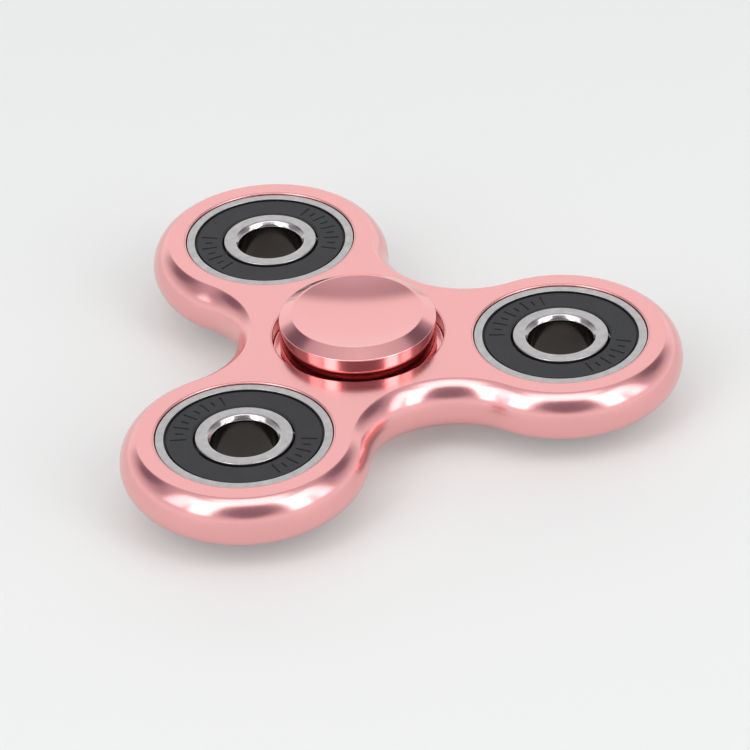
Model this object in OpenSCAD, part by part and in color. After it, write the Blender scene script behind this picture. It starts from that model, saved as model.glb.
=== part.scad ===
// Three-lobed fidget spinner with a hub bearing, three weight bearings and two finger caps.
// Origin: on the spin axis, half way through the body's thickness. +Z points out of the top cap.

/* [Body] */
// Distance from the spin axis to the axis of each weight bearing
arm_r = 25.5; // [25:0.1:28]
// Radius of the flat face round each weight bearing
lobe_flat_r = 13.25; // [12.5:0.05:13.8]
// Distance from the spin axis to the flat face's edge at each waist
waist_r = 13.5; // [13:0.05:14.5]
// How far the rounded edge bulges out past the flat faces
edge_bulge = 2.15; // [1:0.05:3]
// Thickness of the body between its flat faces
body_t = 7; // [6.5:0.1:8]
// Broken edge at every machined rim
rim_break = 0.15; // [0.1:0.05:0.3]

/* [Hub recess] */
// Radius of the round recess that each cap dips into
recess_r = 10.85; // [10.5:0.05:11.2]
// Depth of the recess below the flat face
recess_depth = 2; // [1.5:0.1:2.2]
// Radius of the raised seat round the hub bearing
seat_r = 7.6; // [7.2:0.1:7.8]
// Thickness of the raised seat
seat_t = 4.8; // [4.8:0.1:5]

/* [Finger caps] */
// Outer radius of a cap
cap_r = 9.9; // [9.5:0.05:10]
// Height of a cap's top above the middle of the body
cap_top = 6.8; // [6.5:0.1:8]
// Width of the slanted ring round the cap's top
cap_slant_w = 1.6; // [1:0.05:2]
// Height of the slanted ring
cap_slant_h = 0.9; // [0.6:0.05:1.2]
// Width of the narrow flat land between the slanted ring and the dish
cap_land_w = 0.2; // [0.15:0.05:0.4]
// Depth of the dished finger pad
dish_depth = 1; // [0.5:0.1:1.2]
// Gap between the cap's skirt and the floor of the recess
skirt_gap = 0.4; // [0.3:0.05:0.6]
// Inner radius of the cap's skirt
skirt_in_r = 8.1; // [8:0.05:8.4]
// Radius of the shoulder that bears on the hub bearing's inner ring
shoulder_r = 3.9; // [3.7:0.05:3.9]
// Wall of the lower cap's sleeve, inside the hub bearing
sleeve_wall = 1.15; // [1:0.05:1.3]
// Length of the upper cap's threaded stud
stud_len = 6; // [5:0.5:6]

/* [Weight bearings] */
// Depth of the bearing faces below the flat face
weight_sink = 0.2; // [0.1:0.05:0.3]
// Outer diameter
weight_od = 22; // [22:22]
// Bore
weight_bore = 8; // [8:8]
// Width
weight_w = 7; // [7:7]
// Number of balls
weight_balls = 7; // [6:7]
// Ball diameter
weight_ball_d = 3.969; // [3.969:3.969]
// Outer radius of the inner ring
weight_inner_r = 6; // [5.9:0.05:6.1]
// Inner radius of the outer ring's shoulders
weight_shoulder_r = 9; // [8.95:0.05:9.1]

/* [Rubber seals] */
// Radius where the seal sits in the outer ring
seal_out_r = 9.85; // [9.7:0.05:9.9]
// Radius of the seal's lip
seal_in_r = 6.25; // [6.1:0.05:6.4]
// Thickness of the seal
seal_t = 0.7; // [0.6:0.05:0.8]
// Depth of the seal's face below the ring's face
seal_sink = 0.15; // [0.1:0.05:0.25]
// Number of moulded bars in the larger group on the seal; the other group has two fewer
seal_bars = 9; // [7:2:9]

/* [Hub bearing] */
// Outer diameter
hub_od = 12.7; // [12.7:12.7]
// Bore
hub_bore = 6.35; // [6.35:6.35]
// Width
hub_w = 4.762; // [4.762:4.762]
// Number of balls
hub_balls = 10; // [8:10]
// Ball diameter
hub_ball_d = 2.381; // [2.381:2.381]
// Outer radius of the inner ring
hub_inner_r = 4.05; // [4:0.05:4.1]
// Inner radius of the outer ring's shoulders
hub_shoulder_r = 5.45; // [5.4:0.05:5.5]

/* [Hidden] */
$fn = 96;
sides = ["right", "back", "front"];
side_angle = [-30, 90, 210];
ring_parts = ["outer_ring", "inner_ring", "cage", "top_seal", "bottom_seal"];
hub_parts = ["outer_ring", "inner_ring", "cage", "top_shield", "bottom_shield"];

// How far a cutting shape runs past the face that it cuts
over = 1;
// Clearance between a ball and its races, and between a ball and its cage
race_gap = 0.025;
pocket_gap = 0.1;
// Clearance between the stud and the tapped sleeve, and between the sleeve and the bore
stud_gap = 0.03;
sleeve_gap = 0.02;
// Depth of the tapped hole past the stud's end
tap_runout = 0.4;
// How far a lobe laps over the hollow curve beside it, so that the two cross instead of just touching
lobe_lap = 0.002;
// Balance between a rounded edge's arc and a plain bevel
edge_soften = 0.3;

half_t = body_t / 2;
// The bulging edge is part of a circle through both flat edges
bulge_r = (pow(edge_bulge, 2) + pow(half_t, 2)) / (2 * edge_bulge);
// Radius of the hollow curve at each waist, which meets both lobes smoothly
hollow_r = (pow(waist_r, 2) + pow(arm_r, 2) - waist_r * arm_r - pow(lobe_flat_r, 2))
    / (arm_r + 2 * lobe_flat_r - 2 * waist_r);
hollow_axis_r = waist_r + hollow_r;
recess_floor = half_t - recess_depth;
cap_skirt_z = recess_floor + skirt_gap;
cap_under_z = seat_t / 2 + skirt_gap;
hub_sleeve_r = hub_bore / 2 - sleeve_gap;
tap_r = hub_sleeve_r - sleeve_wall;

function polar(r, a) = [r * cos(a), r * sin(a)];
function lobe_axis(i) = polar(arm_r, side_angle[i]);
function hollow_axis(i) = polar(hollow_axis_r, side_angle[i] + 60);

// Cuts one corner of a profile to a soft round. The corner points along out = [+-1, +-1].
module corner_cut(at, out, size) {
    soft = edge_soften * size;
    arc_r = sqrt(pow(size + soft, 2) + pow(soft, 2));
    translate(at) mirror([out[0] < 0 ? 1 : 0, 0]) mirror([0, out[1] < 0 ? 1 : 0])
        difference() {
            translate([-size, -size]) square(size + over);
            translate([-size - soft, -size - soft]) circle(arc_r);
        }
}

// Rectangle from (r1, z1) to (r2, z2) in a profile
module span(r1, r2, z1, z2) {
    translate([r1, z1]) square([r2 - r1, z2 - z1]);
}

// ---------- Body ----------

// Profile of a lobe from its axis out: flat faces, then the bulging edge
module lobe_profile() {
    flat_r = lobe_flat_r + lobe_lap;
    intersection() {
        span(0, flat_r + edge_bulge + over, -half_t, half_t);
        union() {
            span(0, flat_r, -half_t, half_t);
            translate([flat_r + edge_bulge - bulge_r, 0]) circle(bulge_r);
        }
    }
}

// Profile of the air beside a waist, seen from the hollow's own axis
module hollow_profile() {
    difference() {
        span(0, hollow_r, -half_t - over, half_t + over);
        translate([hollow_r - edge_bulge + bulge_r, 0]) circle(bulge_r);
    }
}

// One lobe, whole about its own axis
module lobe(i) {
    translate(lobe_axis(i)) rotate_extrude() lobe_profile();
}

// The middle of the body, between the three lobe axes and the three waists
module web() {
    corners = [for (i = [0:2]) each [lobe_axis(i), hollow_axis(i)]];
    difference() {
        translate([0, 0, -half_t]) linear_extrude(body_t) polygon(corners);
        for (i = [0:2])
            translate(hollow_axis(i)) rotate_extrude() hollow_profile();
    }
}

// Air inside a bore of radius r through faces at z1 and z2, with both rims broken
module bore_air(r, z1, z2) {
    rotate_extrude() {
        span(0, r, z1 - over, z2 + over);
        polygon([[r, z2 - rim_break], [r + rim_break + over, z2 + over], [r, z2 + over]]);
        polygon([[r, z1 + rim_break], [r + rim_break + over, z1 - over], [r, z1 - over]]);
    }
}

// Air inside the recess on the top side, round the raised seat
module recess_air() {
    rotate_extrude() {
        span(seat_r, recess_r, recess_floor, half_t + over);
        span(0, seat_r, seat_t / 2, half_t + over);
        polygon([[recess_r, half_t - rim_break], [recess_r + rim_break + over, half_t + over],
                 [recess_r, half_t + over]]);
    }
}

module frame() {
    color("lightpink") difference() {
        union() {
            web();
            for (i = [0:2]) lobe(i);
        }
        for (i = [0:2]) translate(lobe_axis(i)) bore_air(weight_od / 2, -half_t, half_t);
        recess_air();
        mirror([0, 0, 1]) recess_air();
        bore_air(hub_od / 2, -seat_t / 2, seat_t / 2);
    }
}

// ---------- Finger caps ----------

// Disc with a skirt, a slanted ring and a dished pad, and the shoulder under it
module cap_disc() {
    slant_r = cap_r - cap_slant_w;
    dish_r = slant_r - cap_land_w;
    ball_r = (pow(dish_r, 2) + pow(dish_depth, 2)) / (2 * dish_depth);
    difference() {
        rotate_extrude() {
            polygon([
                [0, hub_w / 2], [shoulder_r, hub_w / 2], [shoulder_r, cap_under_z],
                [skirt_in_r, cap_under_z], [skirt_in_r, cap_skirt_z], [cap_r - rim_break, cap_skirt_z],
                [cap_r, cap_skirt_z + rim_break], [cap_r, cap_top - cap_slant_h],
                [slant_r, cap_top], [0, cap_top]
            ]);
        }
        translate([0, 0, cap_top + ball_r - dish_depth]) sphere(ball_r, $fn = 360);
    }
}

// The stud starts inside the shoulder, so that the two are one piece
module top_cap() {
    root = hub_w / 2;
    color("lightpink") union() {
        cap_disc();
        translate([0, 0, root - stud_len]) cylinder(r = tap_r - stud_gap, h = stud_len + over);
    }
}

module bottom_cap() {
    root = -hub_w / 2;
    tap_floor = hub_w / 2 - stud_len - tap_runout;
    color("lightpink") difference() {
        union() {
            mirror([0, 0, 1]) cap_disc();
            translate([0, 0, root - over]) cylinder(r = hub_sleeve_r, h = hub_w + over - 2 * sleeve_gap);
        }
        translate([0, 0, tap_floor]) cylinder(r = tap_r, h = hub_w + stud_len);
    }
}

// ---------- Ball bearings, each centred on its own axis ----------

// Outer ring: od outside, shoulder_r inside, a ball groove, and a counterbore for each seal
module outer_ring(od, w, shoulder_r, seat_out_r, seat_depth, ball_d, pitch_r, edge) {
    rotate_extrude() difference() {
        span(shoulder_r, od / 2, -w / 2, w / 2);
        translate([pitch_r, 0]) circle(ball_d / 2 + race_gap);
        for (up = [-1, 1]) {
            mirror([0, up < 0 ? 1 : 0])
                span(shoulder_r - over, seat_out_r, w / 2 - seat_depth, w / 2 + over);
            corner_cut([od / 2, up * w / 2], [1, up], edge);
        }
    }
}

// Inner ring: bore inside, ring_r outside, and a ball groove
module inner_ring(bore, w, ring_r, ball_d, pitch_r, edge) {
    rotate_extrude() difference() {
        span(bore / 2, ring_r, -w / 2, w / 2);
        translate([pitch_r, 0]) circle(ball_d / 2 + race_gap);
        for (up = [-1, 1]) {
            corner_cut([bore / 2, up * w / 2], [-1, up], edge);
            corner_cut([ring_r, up * w / 2], [1, up], edge / 4);
        }
    }
}

// Cage: a ring on the pitch circle with a round window for each ball
module cage(count, ball_d, pitch_r, ring_w, ring_h) {
    difference() {
        rotate_extrude() span(pitch_r - ring_w / 2, pitch_r + ring_w / 2, -ring_h / 2, ring_h / 2);
        for (n = [1:count])
            rotate(n * 360 / count) translate([pitch_r - ring_w, 0, 0]) rotate([0, 90, 0])
                cylinder(r = ball_d / 2 + pocket_gap, h = 2 * ring_w);
    }
}

module bearing_ball(n, count, ball_d, pitch_r) {
    color("silver") rotate(n * 360 / count) translate([pitch_r, 0, 0]) sphere(d = ball_d);
}

// ---------- Hub bearing ----------

hub_pitch_r = (hub_od + hub_bore) / 4;
hub_edge = 0.2;
shield_t = 0.2;
shield_sink = 0.1;
shield_out_r = 5.8;
shield_in_r = 4.2;
hub_cage_w = 0.6;
hub_cage_h = 3;

module hub_outer_ring() {
    color("silver") outer_ring(hub_od, hub_w, hub_shoulder_r, shield_out_r,
        shield_sink + shield_t, hub_ball_d, hub_pitch_r, hub_edge);
}

module hub_inner_ring() {
    color("silver") inner_ring(hub_bore, hub_w, hub_inner_r, hub_ball_d, hub_pitch_r, hub_edge);
}

module hub_cage() {
    color("tan") cage(hub_balls, hub_ball_d, hub_pitch_r, hub_cage_w, hub_cage_h);
}

module hub_top_shield() {
    color("gainsboro") rotate_extrude()
        span(shield_in_r, shield_out_r, hub_w / 2 - shield_sink - shield_t, hub_w / 2 - shield_sink);
}

module hub_bottom_shield() {
    mirror([0, 0, 1]) hub_top_shield();
}

// ---------- Weight bearings ----------

weight_pitch_r = (weight_od + weight_bore) / 4;
weight_edge = 0.15;
mouth_edge = 0.6;
weight_cage_w = 1.1;
weight_cage_h = 4.6;
// The step at the seal's rim, and the thinner lip at its inner edge
step_w = 0.3;
step_drop = 0.35;
lip_w = 0.3;
lip_drop = 0.15;
// Moulded bars: how far out their middles are, how long, how wide, how deep, and the angle between
// them. Every other bar is half as long.
bar_at_r = 8;
bar_len = 2;
bar_w = 0.28;
bar_depth = 0.12;
bar_step = 9;
bar_group_turn = 180;

module at_weight(i) {
    translate([lobe_axis(i)[0], lobe_axis(i)[1], -weight_sink]) children();
}

module weight_outer_ring(i) {
    color("silver") at_weight(i) outer_ring(weight_od, weight_w, weight_shoulder_r, seal_out_r,
        seal_sink + seal_t, weight_ball_d, weight_pitch_r, weight_edge);
}

module weight_inner_ring(i) {
    color("silver") at_weight(i) inner_ring(weight_bore, weight_w, weight_inner_r, weight_ball_d,
        weight_pitch_r, mouth_edge);
}

module weight_cage(i) {
    color("tan") at_weight(i)
        cage(weight_balls, weight_ball_d, weight_pitch_r, weight_cage_w, weight_cage_h);
}

// Profile of the seal on the top side
module seal_profile() {
    face = weight_w / 2 - seal_sink;
    polygon([
        [seal_in_r, face - seal_t], [seal_out_r, face - seal_t], [seal_out_r, face - step_drop],
        [seal_out_r - step_w, face - step_drop], [seal_out_r - step_w, face],
        [seal_in_r + lip_w, face], [seal_in_r, face - lip_drop]
    ]);
}

// Two groups of short bars sunk into the seal's face, each group spread about a heading
module seal_bars_air() {
    face = weight_w / 2 - seal_sink;
    for (group = [0:1]) {
        bars = seal_bars - 2 * group;
        for (n = [0:bars - 1]) {
            len = bar_len / (1 + n % 2);
            rotate(group * bar_group_turn + (n - (bars - 1) / 2) * bar_step)
                translate([bar_at_r - len / 2, -bar_w / 2, face - bar_depth])
                    cube([len, bar_w, over]);
        }
    }
}

module seal_shape(turn) {
    difference() {
        rotate_extrude() seal_profile();
        rotate(turn) seal_bars_air();
    }
}

module weight_top_seal(i) {
    color("dimgray") at_weight(i) seal_shape(seal_turn[i]);
}

module weight_bottom_seal(i) {
    color("dimgray") at_weight(i) mirror([0, 0, 1]) seal_shape(seal_turn[i]);
}

// Heading of the first group of bars on each seal
seal_turn = [114, -7, 120];

module weight_ball(i, n) {
    at_weight(i) bearing_ball(n, weight_balls, weight_ball_d, weight_pitch_r);
}

// ---------- Output ----------

frame();
top_cap();
bottom_cap();
hub_outer_ring();
hub_inner_ring();
hub_cage();
hub_top_shield();
hub_bottom_shield();
for (n = [1:hub_balls])
    bearing_ball(n, hub_balls, hub_ball_d, hub_pitch_r);
for (i = [0:2]) {
    weight_outer_ring(i);
    weight_inner_ring(i);
    weight_cage(i);
    weight_top_seal(i);
    weight_bottom_seal(i);
    for (n = [1:weight_balls])
        weight_ball(i, n);
}
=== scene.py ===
"""Three-lobed fidget spinner: a pink anodised body, two turned finger caps and three steel weight bearings.

Shapes are worked out in millimetres and made metres at the end of each piece.
"""
import math

import bmesh
import bpy
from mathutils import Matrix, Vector


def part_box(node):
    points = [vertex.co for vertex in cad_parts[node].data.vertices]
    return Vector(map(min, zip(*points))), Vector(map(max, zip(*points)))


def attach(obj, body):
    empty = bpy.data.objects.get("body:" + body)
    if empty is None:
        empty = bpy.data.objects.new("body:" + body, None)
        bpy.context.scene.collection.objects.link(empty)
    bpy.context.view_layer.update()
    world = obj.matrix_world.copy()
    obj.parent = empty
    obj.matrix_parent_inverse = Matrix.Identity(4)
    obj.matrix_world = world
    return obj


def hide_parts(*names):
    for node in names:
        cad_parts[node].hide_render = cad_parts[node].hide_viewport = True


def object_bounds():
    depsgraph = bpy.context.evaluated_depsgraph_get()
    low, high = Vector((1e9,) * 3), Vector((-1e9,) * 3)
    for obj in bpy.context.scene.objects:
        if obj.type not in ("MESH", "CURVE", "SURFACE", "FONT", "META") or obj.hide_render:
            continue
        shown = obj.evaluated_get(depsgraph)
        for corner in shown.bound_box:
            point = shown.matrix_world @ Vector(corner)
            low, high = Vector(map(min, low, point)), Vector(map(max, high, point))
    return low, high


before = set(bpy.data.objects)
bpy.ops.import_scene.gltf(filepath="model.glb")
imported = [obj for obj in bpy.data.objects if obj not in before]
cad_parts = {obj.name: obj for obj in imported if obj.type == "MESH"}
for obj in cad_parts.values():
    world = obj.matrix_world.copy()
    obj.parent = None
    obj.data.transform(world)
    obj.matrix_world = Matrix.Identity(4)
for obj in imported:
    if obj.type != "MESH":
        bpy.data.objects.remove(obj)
cad_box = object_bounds()

MM = 0.001
FULL_TURN = 2 * math.pi
SIDES = ("right", "back", "front")
SIDE_ANGLE = {"right": -30, "back": 90, "front": 210}
# Points closer than this, in mm, are one point, and faces this close to a level lie on it
WELD = 1e-4
LEVEL = 1e-3
# Edges that turn by more than this many degrees stay crisp
CRISP_ANGLE = 32


# ---------- Sizes, as the frame has them ----------

def axis_of(node):
    """Where a turned node's own axis crosses z = 0, in mm."""
    low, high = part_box(node)
    return Vector(((low.x + high.x) / 2, (low.y + high.y) / 2, 0)) / MM


def middle_z(node):
    low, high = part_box(node)
    return (low.z + high.z) / 2 / MM


def half_height(node):
    low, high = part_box(node)
    return (high.z - low.z) / 2 / MM


def outer_radius(node):
    low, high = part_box(node)
    return (high.x - low.x) / 2 / MM


HALF_BODY = half_height("frame")
ARM = axis_of("back_outer_ring").length
LOBE_FLAT_R = 13.25
WAIST_R = 13.5
EDGE_BULGE = 2.15
RIM_BREAK = 0.15
RECESS_R = 10.85
RECESS_FLOOR = HALF_BODY - 2.0
# How far a rim's straight part starts outside its broken edge
RIM_REACH = 0.05
SEAT_R = 7.6
SEAT_HALF = 2.4
HUB_BORE_R = outer_radius("hub_outer_ring")

CAP_R = outer_radius("top_cap")
CAP_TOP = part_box("top_cap")[1].z / MM
SLANT_R = 8.3
SLANT_Z = CAP_TOP - 0.9
DISH_R = 8.1
DISH_DEPTH = 1.0
SKIRT_GAP = 0.4
SKIRT_Z = RECESS_FLOOR + SKIRT_GAP
CAP_UNDER_Z = SEAT_HALF + SKIRT_GAP
SKIRT_IN_R = 8.1
SHOULDER_R = 3.9
SHOULDER_Z = half_height("hub_inner_ring")
SLEEVE_R = 3.155
TAP_R = 2.005
STUD_R = 1.975
STUD_END_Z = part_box("top_cap")[0].z / MM
TAP_RUNOUT = 0.4
SLEEVE_SHORT = 0.04

RING_R = outer_radius("back_outer_ring")
RING_HALF = half_height("back_outer_ring")
BORE_R = 4.0
RACE_R = outer_radius("back_inner_ring")
LAND_R = 9.0
SEAL_R = outer_radius("back_top_seal")
SEAL_SINK = 0.15
SEAL_FACE = RING_HALF - SEAL_SINK
SEAL_T = 0.7
SEAL_STEP_W = 0.3
SEAL_STEP_DROP = 0.35
LIP_R = 6.25
LIP_W = 0.3
LIP_DROP = 0.15
MOUTH = 0.55
PITCH_R = 7.5
GROOVE_R = 3.969 / 2 + 0.025


# ---------- Making a piece ----------

def softened(corners, closed, steps=3):
    """Points (r, z) of a profile. Each corner (r, z, size) is rounded over size mm to either side.

    A guard point just past each rounding keeps the shading of the flat beside it flat.
    """
    guard = 1.5
    points = []
    count = len(corners)
    for i, (r, z, size) in enumerate(corners):
        here = Vector((r, 0, z))
        if size == 0 or (not closed and i in (0, count - 1)):
            points.append(here)
            continue
        before = Vector((corners[i - 1][0], 0, corners[i - 1][1])) - here
        after_r, after_z, _ = corners[(i + 1) % count]
        after = Vector((after_r, 0, after_z)) - here
        before.normalize()
        after.normalize()
        half = before.angle(after) / 2
        centre = here + (before + after).normalized() * (size / math.cos(half))
        first, last = here + before * size - centre, here + after * size - centre
        turn = [centre + first.slerp(last, n / steps).normalized() * first.length
                for n in range(steps + 1)]
        points += [here + before * size * guard] + turn + [here + after * size * guard]
    return points


def arc(centre_r, centre_z, radius, start, end, steps):
    """Unrounded corners along an arc of a profile, from start to end in degrees."""
    turns = [math.radians(start + (end - start) * n / steps) for n in range(steps + 1)]
    return [(centre_r + radius * math.cos(t), centre_z + radius * math.sin(t), 0) for t in turns]


def spin_profile(bm, points, closed, at, steps):
    """Turns a profile once round the upright axis through at."""
    verts = [bm.verts.new(p) for p in points]
    pairs = list(zip(verts, verts[1:])) + ([(verts[-1], verts[0])] if closed else [])
    edges = [bm.edges.new(pair) for pair in pairs]
    others = set(bm.verts) - set(verts)
    bmesh.ops.spin(bm, geom=verts + edges, cent=(0, 0, 0), axis=(0, 0, 1), dvec=(0, 0, 0),
                   angle=FULL_TURN, steps=steps, use_merge=True, use_normal_flip=False,
                   use_duplicate=False)
    bmesh.ops.translate(bm, verts=[v for v in bm.verts if v not in others], vec=at)


def finished(bm, name, material, body, replaced):
    """Closes the mesh, turns it into a piece in metres, and hangs it on its body."""
    bmesh.ops.remove_doubles(bm, verts=bm.verts, dist=WELD)
    bmesh.ops.recalc_face_normals(bm, faces=bm.faces)
    bmesh.ops.scale(bm, vec=(MM, MM, MM), verts=bm.verts)
    for face in bm.faces:
        face.smooth = True
    for edge in bm.edges:
        edge.smooth = edge.calc_face_angle(0) < math.radians(CRISP_ANGLE)
    mesh = bpy.data.meshes.new(name)
    bm.to_mesh(mesh)
    bm.free()
    mesh.materials.append(material)
    piece = bpy.data.objects.new(name, mesh)
    bpy.context.scene.collection.objects.link(piece)
    even = piece.modifiers.new("Even shading", "WEIGHTED_NORMAL")
    even.keep_sharp = True
    even.weight = 100
    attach(piece, body)
    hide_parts(replaced)
    return piece


def turned(name, corners, material, body, replaced, closed=True, at=(0, 0, 0), steps=160):
    """A piece that is one profile turned round its own axis."""
    bm = bmesh.new()
    spin_profile(bm, softened(corners, closed), closed, at, steps)
    return finished(bm, name, material, body, replaced)


# ---------- Body ----------

def outline(lobe_steps=72, waist_steps=30):
    """(point, outward direction) round the flat face: a round lobe, then a hollow waist, three times."""
    hollow_r = ((WAIST_R ** 2 + ARM ** 2 - WAIST_R * ARM - LOBE_FLAT_R ** 2)
                / (ARM + 2 * LOBE_FLAT_R - 2 * WAIST_R))
    waist_axis_r = WAIST_R + hollow_r
    lobes = [axis_of(side + "_outer_ring") for side in SIDES]
    waists = []
    for side in SIDES:
        turn = math.radians(SIDE_ANGLE[side] + 60)
        waists.append(Vector((math.cos(turn), math.sin(turn), 0)) * waist_axis_r)
    path = []
    for i in range(3):
        lobe, waist, last_waist = lobes[i], waists[i], waists[i - 1]
        start, end = heading(last_waist - lobe), heading(waist - lobe)
        end += FULL_TURN if end < start else 0
        for n in range(lobe_steps):
            out = direction(start + (end - start) * n / lobe_steps)
            path.append((lobe + out * LOBE_FLAT_R, out))
        start, end = heading(lobe - waist), heading(lobes[(i + 1) % 3] - waist)
        start += FULL_TURN if start < end else 0
        for n in range(waist_steps):
            inward = direction(start + (end - start) * n / waist_steps)
            path.append((waist + inward * hollow_r, -inward))
    return path


def heading(v):
    return math.atan2(v.y, v.x)


def direction(turn):
    return Vector((math.cos(turn), math.sin(turn), 0))


def edge_profile(steps=28):
    """(offset, z) of the bulging edge from the top face's crease to the bottom face's crease."""
    bulge_r = (EDGE_BULGE ** 2 + HALF_BODY ** 2) / (2 * EDGE_BULGE)
    reach = math.degrees(math.asin(HALF_BODY / bulge_r))
    bulge = arc(EDGE_BULGE - bulge_r, 0, bulge_r, reach, -reach, steps)
    crease = 0.1
    bulge[0] = (0, HALF_BODY, crease)
    bulge[-1] = (0, -HALF_BODY, crease)
    corners = [(-1, HALF_BODY, 0)] + bulge + [(-1, -HALF_BODY, 0)]
    return softened(corners, closed=False)[1:-1]


def make_edge(bm):
    """The bulging edge: the outline drawn out ring by ring along the edge's profile."""
    path = outline()
    rings = edge_profile()
    number = bm.verts.layers.int.new("outline")
    verts = []
    for n, (point, out) in enumerate(path):
        vert = bm.verts.new(point + out * rings[0].x + Vector((0, 0, rings[0].z)))
        vert[number] = n
        verts.append(vert)
    edges = [bm.edges.new(pair) for pair in zip(verts, verts[1:] + verts[:1])]
    for ring in rings[1:]:
        grown = bmesh.ops.extrude_edge_only(bm, edges=edges)["geom"]
        edges = [e for e in grown if isinstance(e, bmesh.types.BMEdge)]
        for vert in (v for v in grown if isinstance(v, bmesh.types.BMVert)):
            point, out = path[vert[number]]
            vert.co = point + out * ring.x + Vector((0, 0, ring.z))


def make_body(material):
    bm = bmesh.new()
    make_edge(bm)
    rim, past_rim = RIM_BREAK, RIM_BREAK + RIM_REACH
    bore = [(RING_R + past_rim, HALF_BODY, 0), (RING_R, HALF_BODY, rim),
            (RING_R, -HALF_BODY, rim), (RING_R + past_rim, -HALF_BODY, 0)]
    for side in SIDES:
        spin_profile(bm, softened(bore, False), False, axis_of(side + "_outer_ring"), 144)
    upper = [(RECESS_R + past_rim, HALF_BODY, 0), (RECESS_R, HALF_BODY, rim),
             (RECESS_R, RECESS_FLOOR, 0.2), (SEAT_R, RECESS_FLOOR, 0.1), (SEAT_R, SEAT_HALF, 0.1),
             (HUB_BORE_R, SEAT_HALF, rim)]
    lower = [(r, -z, size) for r, z, size in reversed(upper)]
    spin_profile(bm, softened(upper + lower, False), False, (0, 0, 0), 144)
    bmesh.ops.remove_doubles(bm, verts=bm.verts, dist=WELD)
    for z in (HALF_BODY, -HALF_BODY):
        rims = [e for e in bm.edges if e.is_boundary and all(abs(v.co.z - z) < LEVEL for v in e.verts)]
        bmesh.ops.triangle_fill(bm, use_beauty=True, use_dissolve=False, edges=rims)
    return finished(bm, "body", material, "rotor", "frame")


# ---------- Finger caps ----------

def cap_outside():
    """Corners from the shoulder out, round the skirt and up over the slanted ring into the dish."""
    ball_r = (DISH_R ** 2 + DISH_DEPTH ** 2) / (2 * DISH_DEPTH)
    reach = math.degrees(math.asin(DISH_R / ball_r))
    dish = arc(0, CAP_TOP + ball_r - DISH_DEPTH, ball_r, -90 + reach, -90, 24)
    dish[0] = (DISH_R, CAP_TOP, 0.06)
    return [(SHOULDER_R, SHOULDER_Z, 0.05), (SHOULDER_R, CAP_UNDER_Z, 0.1),
            (SKIRT_IN_R, CAP_UNDER_Z, 0.1), (SKIRT_IN_R, SKIRT_Z, 0.1),
            (CAP_R, SKIRT_Z, 0.15), (CAP_R, SLANT_Z, 0.07),
            (SLANT_R, CAP_TOP, 0.06)] + dish


def make_top_cap(material):
    stud = [(0, STUD_END_Z, 0), (STUD_R, STUD_END_Z, 0.2), (STUD_R, SHOULDER_Z, 0)]
    return turned("finger_cap_top", stud + cap_outside(), material, "hub", "top_cap",
                  closed=False, steps=192)


def make_bottom_cap(material):
    tap_floor = STUD_END_Z - TAP_RUNOUT
    sleeve_top = SHOULDER_Z - SLEEVE_SHORT
    sleeve = [(0, tap_floor, 0), (TAP_R, tap_floor, 0.1), (TAP_R, sleeve_top, 0.2),
              (SLEEVE_R, sleeve_top, 0.2), (SLEEVE_R, -SHOULDER_Z, 0.05)]
    disc = [(r, -z, size) for r, z, size in cap_outside()]
    return turned("finger_cap_bottom", sleeve + disc, material, "hub", "bottom_cap",
                  closed=False, steps=192)


# ---------- Weight bearings ----------

def make_outer_ring(side, material):
    middle = middle_z(side + "_outer_ring")
    edge, seat = 0.13, SEAL_FACE - SEAL_T
    half_groove = math.degrees(math.acos((LAND_R - PITCH_R) / GROOVE_R))
    upper = [(LAND_R, seat, 0.05), (SEAL_R, seat, 0.05), (SEAL_R, RING_HALF, 0.06),
             (RING_R - edge, RING_HALF, 0.04), (RING_R, RING_HALF - 4 * edge, 0)]
    lower = [(r, -z, size) for r, z, size in reversed(upper)]
    groove = arc(PITCH_R, 0, GROOVE_R, -half_groove, half_groove, 16)
    return turned(side + "_ring_outer", upper + lower + groove, material, "rotor",
                  side + "_outer_ring", at=axis_of(side + "_outer_ring") + Vector((0, 0, middle)))


def make_inner_ring(side, material):
    middle = middle_z(side + "_inner_ring")
    half_groove = math.degrees(math.acos((PITCH_R - RACE_R) / GROOVE_R))
    groove = arc(PITCH_R, 0, GROOVE_R, 180 + half_groove, 180 - half_groove, 16)
    corners = [(BORE_R, MOUTH - RING_HALF, 0.2), (BORE_R + MOUTH, -RING_HALF, 0.15),
               (RACE_R, -RING_HALF, 0.12)] + groove
    corners += [(RACE_R, RING_HALF, 0.12), (BORE_R + MOUTH, RING_HALF, 0.15),
                (BORE_R, RING_HALF - MOUTH, 0.2)]
    return turned(side + "_ring_inner", corners, material, side + "_race",
                  side + "_inner_ring", at=axis_of(side + "_inner_ring") + Vector((0, 0, middle)))


# Radii that bound the bars: a long bar runs from the first to the last, a short one between the middle two
BAR_ROWS = (7.0, 7.5, 8.5, 9.0)
BAR_STEP = 9
BAR_HALF_ANGLE = 1
BAR_WALL = 0.03
BAR_DEPTH = 0.12
# Heading of each seal's larger group of bars, in degrees
SEAL_TURN = {"right": 114, "back": -7, "front": 120}


def bar_at(turn, radius, heading_now):
    """Whether a moulded bar covers this spot.

    Nine bars stand round one heading and seven opposite, and every other one is half as long.
    """
    for bars, middle in ((9, turn), (7, turn + 180)):
        for n in range(bars):
            mark = middle + (n - (bars - 1) / 2) * BAR_STEP
            close = abs((heading_now - mark + 180) % 360 - 180) < BAR_HALF_ANGLE
            if close and (n % 2 == 0 or BAR_ROWS[1] < radius < BAR_ROWS[2]):
                return True
    return False


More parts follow.
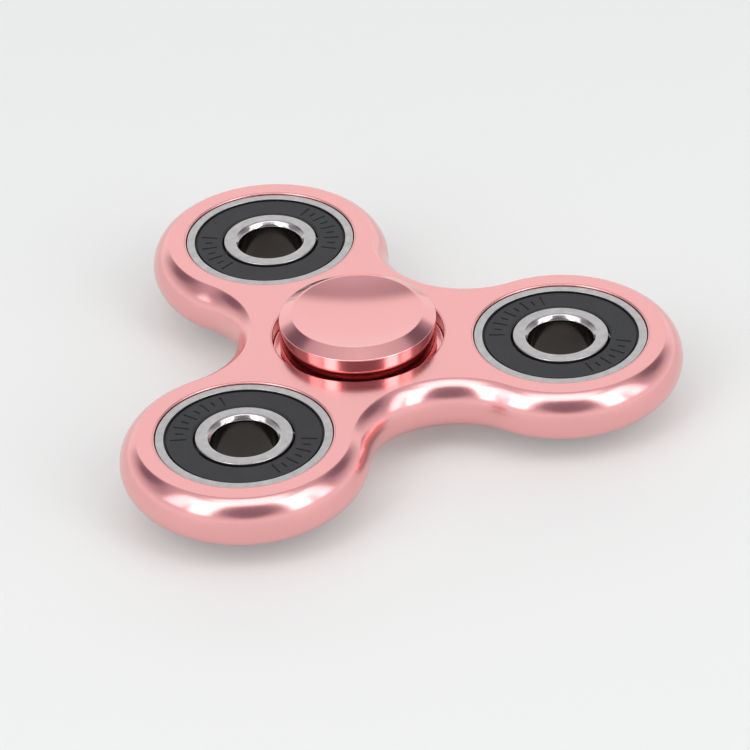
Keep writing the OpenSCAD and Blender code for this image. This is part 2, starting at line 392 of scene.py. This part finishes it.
def make_seal(side, up, turn, material):
    """A rubber seal with its thin lip and two groups of moulded bars."""
    name = side + ("_top_seal" if up > 0 else "_bottom_seal")
    step_z, step_r = SEAL_FACE - SEAL_STEP_DROP, SEAL_R - SEAL_STEP_W
    corners = [(LIP_R, SEAL_FACE - SEAL_T, 0.05), (SEAL_R, SEAL_FACE - SEAL_T, 0.05),
               (SEAL_R, step_z, 0), (step_r, step_z, 0), (step_r, SEAL_FACE, 0.06)]
    corners += [(row, SEAL_FACE, 0) for row in reversed(BAR_ROWS)]
    corners += [(LIP_R + LIP_W, SEAL_FACE, 0.08), (LIP_R, SEAL_FACE - LIP_DROP, 0.04)]
    bm = bmesh.new()
    spin_profile(bm, softened(corners, True), True, (0, 0, 0), 360)
    bmesh.ops.remove_doubles(bm, verts=bm.verts, dist=WELD)
    bmesh.ops.recalc_face_normals(bm, faces=bm.faces)
    bar_faces = []
    for face in bm.faces:
        middle = face.calc_center_median()
        radius = math.hypot(middle.x, middle.y)
        if abs(middle.z - SEAL_FACE) < LEVEL and BAR_ROWS[0] < radius < BAR_ROWS[-1]:
            if bar_at(turn, radius, math.degrees(heading(middle))):
                bar_faces.append(face)
    bmesh.ops.inset_region(bm, faces=bar_faces, thickness=BAR_WALL, depth=-BAR_DEPTH,
                           use_even_offset=True)
    bmesh.ops.scale(bm, vec=(1, 1, up), verts=bm.verts)
    bmesh.ops.translate(bm, verts=bm.verts,
                        vec=axis_of(name) + Vector((0, 0, middle_z(side + "_outer_ring"))))
    return finished(bm, name.replace("_seal", "_cover"), material, "rotor", name)


# ---------- Finishes ----------

def new_finish(name, colour, metallic, roughness):
    """A material with its Principled node, and the piece's own place as a coordinate."""
    material = bpy.data.materials.new(name)
    material.use_nodes = True
    nodes = material.node_tree.nodes
    shader = nodes["Principled BSDF"]
    shader.inputs["Base Color"].default_value = (*colour, 1)
    shader.inputs["Metallic"].default_value = metallic
    shader.inputs["Roughness"].default_value = roughness
    place = nodes.new("ShaderNodeTexCoord")
    return material, nodes, material.node_tree.links, shader, place.outputs["Object"]


def noise(nodes, links, place, scale, detail=3):
    texture = nodes.new("ShaderNodeTexNoise")
    texture.inputs["Scale"].default_value = scale
    texture.inputs["Detail"].default_value = detail
    links.new(place, texture.inputs["Vector"])
    return texture.outputs["Fac"]


def between(nodes, links, value, low, high, start=0.3, end=0.7):
    """Spreads a value that runs from start to end over low to high."""
    spread = nodes.new("ShaderNodeMapRange")
    for name, number in (("From Min", start), ("From Max", end), ("To Min", low), ("To Max", high)):
        spread.inputs[name].default_value = number
    links.new(value, spread.inputs["Value"])
    return spread.outputs["Result"]


def tint(nodes, links, value, dark, light):
    """A colour from dark to light as the value goes from 0 to 1."""
    ramp = nodes.new("ShaderNodeValToRGB")
    ramp.color_ramp.elements[0].color = (*dark, 1)
    ramp.color_ramp.elements[1].color = (*light, 1)
    links.new(value, ramp.inputs["Fac"])
    return ramp.outputs["Color"]


def raised(nodes, links, shader, height, depth, strength=1.0):
    """Adds a relief of that depth, in metres, over any relief already there."""
    bump = nodes.new("ShaderNodeBump")
    bump.inputs["Strength"].default_value = strength
    bump.inputs["Distance"].default_value = depth
    links.new(height, bump.inputs["Height"])
    if shader.inputs["Normal"].is_linked:
        links.new(shader.inputs["Normal"].links[0].from_socket, bump.inputs["Normal"])
    links.new(bump.outputs["Normal"], shader.inputs["Normal"])


def turning_lines(nodes, links, place, centre, pitch, with_place=False):
    """Fine rings round an upright axis, as a cutter leaves on a turned face."""
    move = nodes.new("ShaderNodeMapping")
    move.inputs["Location"].default_value = -Vector(centre) * MM
    links.new(place, move.inputs["Vector"])
    wave = nodes.new("ShaderNodeTexWave")
    wave.wave_type = "RINGS"
    wave.rings_direction = "Z"
    wave.inputs["Scale"].default_value = FULL_TURN / (20 * pitch * MM)
    wave.inputs["Distortion"].default_value = 0.6
    wave.inputs["Detail"].default_value = 1
    links.new(move.outputs["Vector"], wave.inputs["Vector"])
    return (wave.outputs["Fac"], move.outputs["Vector"]) if with_place else wave.outputs["Fac"]


PINK_LIGHT = (0.87, 0.435, 0.43)
PINK_DEEP = (0.85, 0.415, 0.412)


def pink_body_finish():
    material, nodes, links, shader, place = new_finish("Satin pink anodising", PINK_LIGHT, 1.0, 0.13)
    cloud = noise(nodes, links, place, 120, 2)
    links.new(tint(nodes, links, cloud, PINK_DEEP, PINK_LIGHT), shader.inputs["Base Color"])
    grain = noise(nodes, links, place, 9000, 2)
    links.new(between(nodes, links, grain, 0.16, 0.25), shader.inputs["Roughness"])
    raised(nodes, links, shader, grain, 1e-6, 0.3)
    return material


def pink_cap_finish():
    material, nodes, links, shader, place = new_finish("Turned pink anodising", PINK_LIGHT, 1.0, 0.12)
    cloud = noise(nodes, links, place, 160, 2)
    links.new(tint(nodes, links, cloud, PINK_DEEP, PINK_LIGHT), shader.inputs["Base Color"])
    lines = turning_lines(nodes, links, place, (0, 0, 0), 0.09)
    links.new(between(nodes, links, lines, 0.10, 0.15, 0, 1), shader.inputs["Roughness"])
    raised(nodes, links, shader, lines, 6e-7, 0.3)
    return material


def ring_steel_finish(side):
    """Ground faces, a polished mouth and a bore darkened with painted shade, told apart by distance from the
    axis.
    """
    centre = axis_of(side + "_outer_ring")
    material, nodes, links, shader, place = new_finish("Bearing steel " + side, (0.42, 0.41, 0.4),
                                                       1.0, 0.3)
    lines, spot = turning_lines(nodes, links, place, centre, 0.07, with_place=True)
    flat = nodes.new("ShaderNodeVectorMath")
    flat.operation = "MULTIPLY"
    flat.inputs[1].default_value = (1 / MM, 1 / MM, 0)
    links.new(spot, flat.inputs[0])
    reach = nodes.new("ShaderNodeVectorMath")
    reach.operation = "LENGTH"
    links.new(flat.outputs["Vector"], reach.inputs[0])
    cloud = noise(nodes, links, place, 900, 5)
    face = tint(nodes, links, cloud, (0.34, 0.335, 0.335), (0.62, 0.61, 0.61))
    # Painted shade: inside the bore's radius the steel turns a dark brownish grey, as the shade in the hole
    # looks
    bore = nodes.new("ShaderNodeMix")
    bore.data_type = "RGBA"
    bore.inputs["A"].default_value = (0.13, 0.118, 0.11, 1)
    links.new(between(nodes, links, reach.outputs["Value"], 0, 1, BORE_R + 0.01, BORE_R + 0.06),
              bore.inputs["Factor"])
    links.new(face, bore.inputs["B"])
    links.new(bore.outputs["Result"], shader.inputs["Base Color"])
    links.new(between(nodes, links, reach.outputs["Value"], 0.14, 0.28, BORE_R + 0.45, BORE_R + 0.7),
              shader.inputs["Roughness"])
    raised(nodes, links, shader, lines, 1.2e-6, 0.4)
    raised(nodes, links, shader, noise(nodes, links, place, 4500, 3), 4e-6, 0.5)
    return material


def ball_steel_finish():
    material, nodes, links, shader, place = new_finish("Polished ball steel", (0.66, 0.66, 0.67), 1.0, 0.07)
    links.new(between(nodes, links, noise(nodes, links, place, 900), 0.05, 0.1), shader.inputs["Roughness"])
    return material


def cage_brass_finish():
    material, nodes, links, shader, place = new_finish("Pressed brass", (0.72, 0.48, 0.2), 1.0, 0.35)
    cloud = noise(nodes, links, place, 700)
    links.new(tint(nodes, links, cloud, (0.6, 0.38, 0.15), (0.78, 0.55, 0.26)), shader.inputs["Base Color"])
    return material


def shield_steel_finish():
    material, nodes, links, shader, place = new_finish("Pressed steel", (0.6, 0.6, 0.6), 1.0, 0.28)
    lines = turning_lines(nodes, links, place, (0, 0, 0), 0.08)
    links.new(between(nodes, links, lines, 0.22, 0.34, 0, 1), shader.inputs["Roughness"])
    raised(nodes, links, shader, lines, 1.5e-6, 0.5)
    return material


def seal_rubber_finish():
    material, nodes, links, shader, place = new_finish("Moulded black rubber", (0.018, 0.019, 0.02), 0.0, 0.5)
    shader.inputs["Specular IOR Level"].default_value = 0.3
    cloud = noise(nodes, links, place, 350, 4)
    links.new(tint(nodes, links, cloud, (0.016, 0.017, 0.019), (0.027, 0.029, 0.032)),
              shader.inputs["Base Color"])
    grain = noise(nodes, links, place, 6000, 3)
    links.new(between(nodes, links, grain, 0.42, 0.6), shader.inputs["Roughness"])
    raised(nodes, links, shader, grain, 6e-6, 0.5)
    return material


FLOOR_GLOW = 0.2


def floor_finish():
    """A plain pale board that glows faintly and evenly, as a lit table does."""
    material, _, _, shader, _ = new_finish("Pale board", (0.57, 0.595, 0.575), 0.0, 0.7)
    shader.inputs["Specular IOR Level"].default_value = 0.2
    shader.inputs["Emission Color"].default_value = (1, 1, 1, 1)
    shader.inputs["Emission Strength"].default_value = FLOOR_GLOW
    return material


# ---------- Stage ----------

def make_floor(z):
    bm = bmesh.new()
    bmesh.ops.create_grid(bm, x_segments=1, y_segments=1, size=4)
    bmesh.ops.translate(bm, verts=bm.verts, vec=(0, 0, z))
    mesh = bpy.data.meshes.new("floor")
    bm.to_mesh(mesh)
    bm.free()
    mesh.materials.append(floor_finish())
    floor = bpy.data.objects.new("floor", mesh)
    bpy.context.scene.collection.objects.link(floor)


def soft_box(name, toward, width, height, brightness):
    """An area light one metre off that faces the object, with its brightness as a camera would see it."""
    data = bpy.data.lights.new(name, "AREA")
    data.shape = "RECTANGLE"
    data.size, data.size_y = width, height
    data.energy = 4 * width * height * brightness
    light = bpy.data.objects.new(name, data)
    bpy.context.scene.collection.objects.link(light)
    light.location = facing(*toward)
    light.rotation_mode = "QUATERNION"
    light.rotation_quaternion = facing(*toward).to_track_quat("Z", "Y")


def facing(azimuth, elevation):
    """Unit direction for an azimuth from +X and an elevation, in degrees."""
    flat = math.cos(math.radians(elevation))
    return Vector((math.cos(math.radians(azimuth)) * flat, math.sin(math.radians(azimuth)) * flat,
                   math.sin(math.radians(elevation))))


def faded(nodes, links, light, reading, start, end, brightness):
    """The room's light so far, fading to a new brightness as a reading runs from start to end."""
    spread = nodes.new("ShaderNodeMapRange")
    spread.interpolation_type = "SMOOTHSTEP"
    spread.inputs["From Min"].default_value = start
    spread.inputs["From Max"].default_value = end
    links.new(reading, spread.inputs["Value"])
    mix = nodes.new("ShaderNodeMix")
    mix.data_type = "FLOAT"
    mix.inputs["B"].default_value = brightness
    links.new(spread.outputs["Result"], mix.inputs["Factor"])
    if isinstance(light, float):
        mix.inputs["A"].default_value = light
    else:
        links.new(light, mix.inputs["A"])
    return mix.outputs["Result"]


def nearness(nodes, links, look, centre):
    """Cosine of the angle between the way one looks and a direction."""
    near = nodes.new("ShaderNodeVectorMath")
    near.operation = "DOT_PRODUCT"
    near.inputs[1].default_value = facing(*centre)
    links.new(look, near.inputs[0])
    return near.outputs["Value"]


# Walls: bright where they meet the floor, dim half way up, brighter again overhead
WALLS_AT_FLOOR, WALLS_HALF_UP, WALLS_OVERHEAD = 1.05, 0.42, 0.8
DIMMEST_HEIGHT = 0.62
# Round patches on the walls: azimuth and elevation, radius and softness in degrees, brightness
PATCHES = (((-112, 38), 22, 5, 0.26),  # dark slot for the camera
           ((2, 40), 12, 5, 0.2),      # gap between the tent's walls
           ((124, 38), 12, 5, 0.2),    # the other gap
           ((62, 0), 46, 4, 1.06))     # white sweep behind
SHADE_TINT = 1.14


def make_room():
    """A photo tent: a white sweep behind, open and dim at the sides, and a dark slot for the camera."""
    world = bpy.data.worlds.new("Photo tent")
    world.use_nodes = True
    nodes, links = world.node_tree.nodes, world.node_tree.links
    look = nodes.new("ShaderNodeTexCoord").outputs["Generated"]
    split = nodes.new("ShaderNodeSeparateXYZ")
    links.new(look, split.inputs["Vector"])
    height = split.outputs["Z"]
    light = faded(nodes, links, WALLS_AT_FLOOR, height, 0, DIMMEST_HEIGHT, WALLS_HALF_UP)
    light = faded(nodes, links, light, height, DIMMEST_HEIGHT, 1, WALLS_OVERHEAD)
    for centre, radius, soft, brightness in PATCHES:
        rim, core = (math.cos(math.radians(radius + way * soft)) for way in (1, -1))
        light = faded(nodes, links, light, nearness(nodes, links, look, centre), rim, core, brightness)
    colour = nodes.new("ShaderNodeCombineColor")
    links.new(light, colour.inputs["Red"])
    links.new(light, colour.inputs["Blue"])
    mauve = nodes.new("ShaderNodeMath")
    mauve.operation = "POWER"
    mauve.inputs[1].default_value = SHADE_TINT
    links.new(light, mauve.inputs[0])
    links.new(mauve.outputs["Value"], colour.inputs["Green"])
    links.new(colour.outputs["Color"], nodes["Background"].inputs["Color"])
    bpy.context.scene.world = world


LENS = 198.91
CAMERA_AT = (-0.18636, -0.39130, 0.29523)
CAMERA_TURN = (55.4364, 1.9553, -27.0655)


def make_camera():
    data = bpy.data.cameras.new("camera")
    data.lens = LENS
    data.sensor_width = 36
    data.clip_start, data.clip_end = 0.05, 20
    camera = bpy.data.objects.new("camera", data)
    bpy.context.scene.collection.objects.link(camera)
    camera.location = CAMERA_AT
    camera.rotation_euler = [math.radians(turn) for turn in CAMERA_TURN]
    bpy.context.scene.camera = camera


# ---------- The object ----------

def dress(prefix, names, material):
    """Gives CAD nodes their finish."""
    for name in names:
        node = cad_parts[prefix + name]
        node.data.materials.clear()
        node.data.materials.append(material)


def make_spinner():
    pink_cap = pink_cap_finish()
    make_body(pink_body_finish())
    make_top_cap(pink_cap)
    make_bottom_cap(pink_cap)
    rubber = seal_rubber_finish()
    for side in SIDES:
        steel = ring_steel_finish(side)
        make_outer_ring(side, steel)
        make_inner_ring(side, steel)
        for up in (1, -1):
            make_seal(side, up, SEAL_TURN[side], rubber)
    polished, brass, shield = ball_steel_finish(), cage_brass_finish(), shield_steel_finish()
    dress("hub_", ["ball_%d" % n for n in range(1, 11)], polished)
    dress("hub_", ["top_shield", "bottom_shield", "inner_ring", "outer_ring"], shield)
    dress("hub_", ["cage"], brass)
    for side in SIDES:
        dress(side, ["_ball_%d" % n for n in range(1, 8)], polished)
        dress(side, ["_cage"], brass)


# Name, azimuth and elevation, width, height and brightness
SOFT_BOXES = (("left soft box", (-158, 39), 0.29, 0.78, 2.7),
              ("left outer soft box", (-183, 40), 0.3, 0.72, 1.3),
              ("right soft box", (-67, 37), 0.29, 0.78, 2.7),
              ("right outer soft box", (-43, 37), 0.26, 0.78, 1.4),
              ("front top soft box", (-112, 71.5), 0.75, 0.4, 1.2))

make_spinner()
make_floor(cad_box[0].z)
make_room()
for soft in SOFT_BOXES:
    soft_box(*soft)
make_camera()
bpy.context.scene.view_settings.view_transform = "Standard"
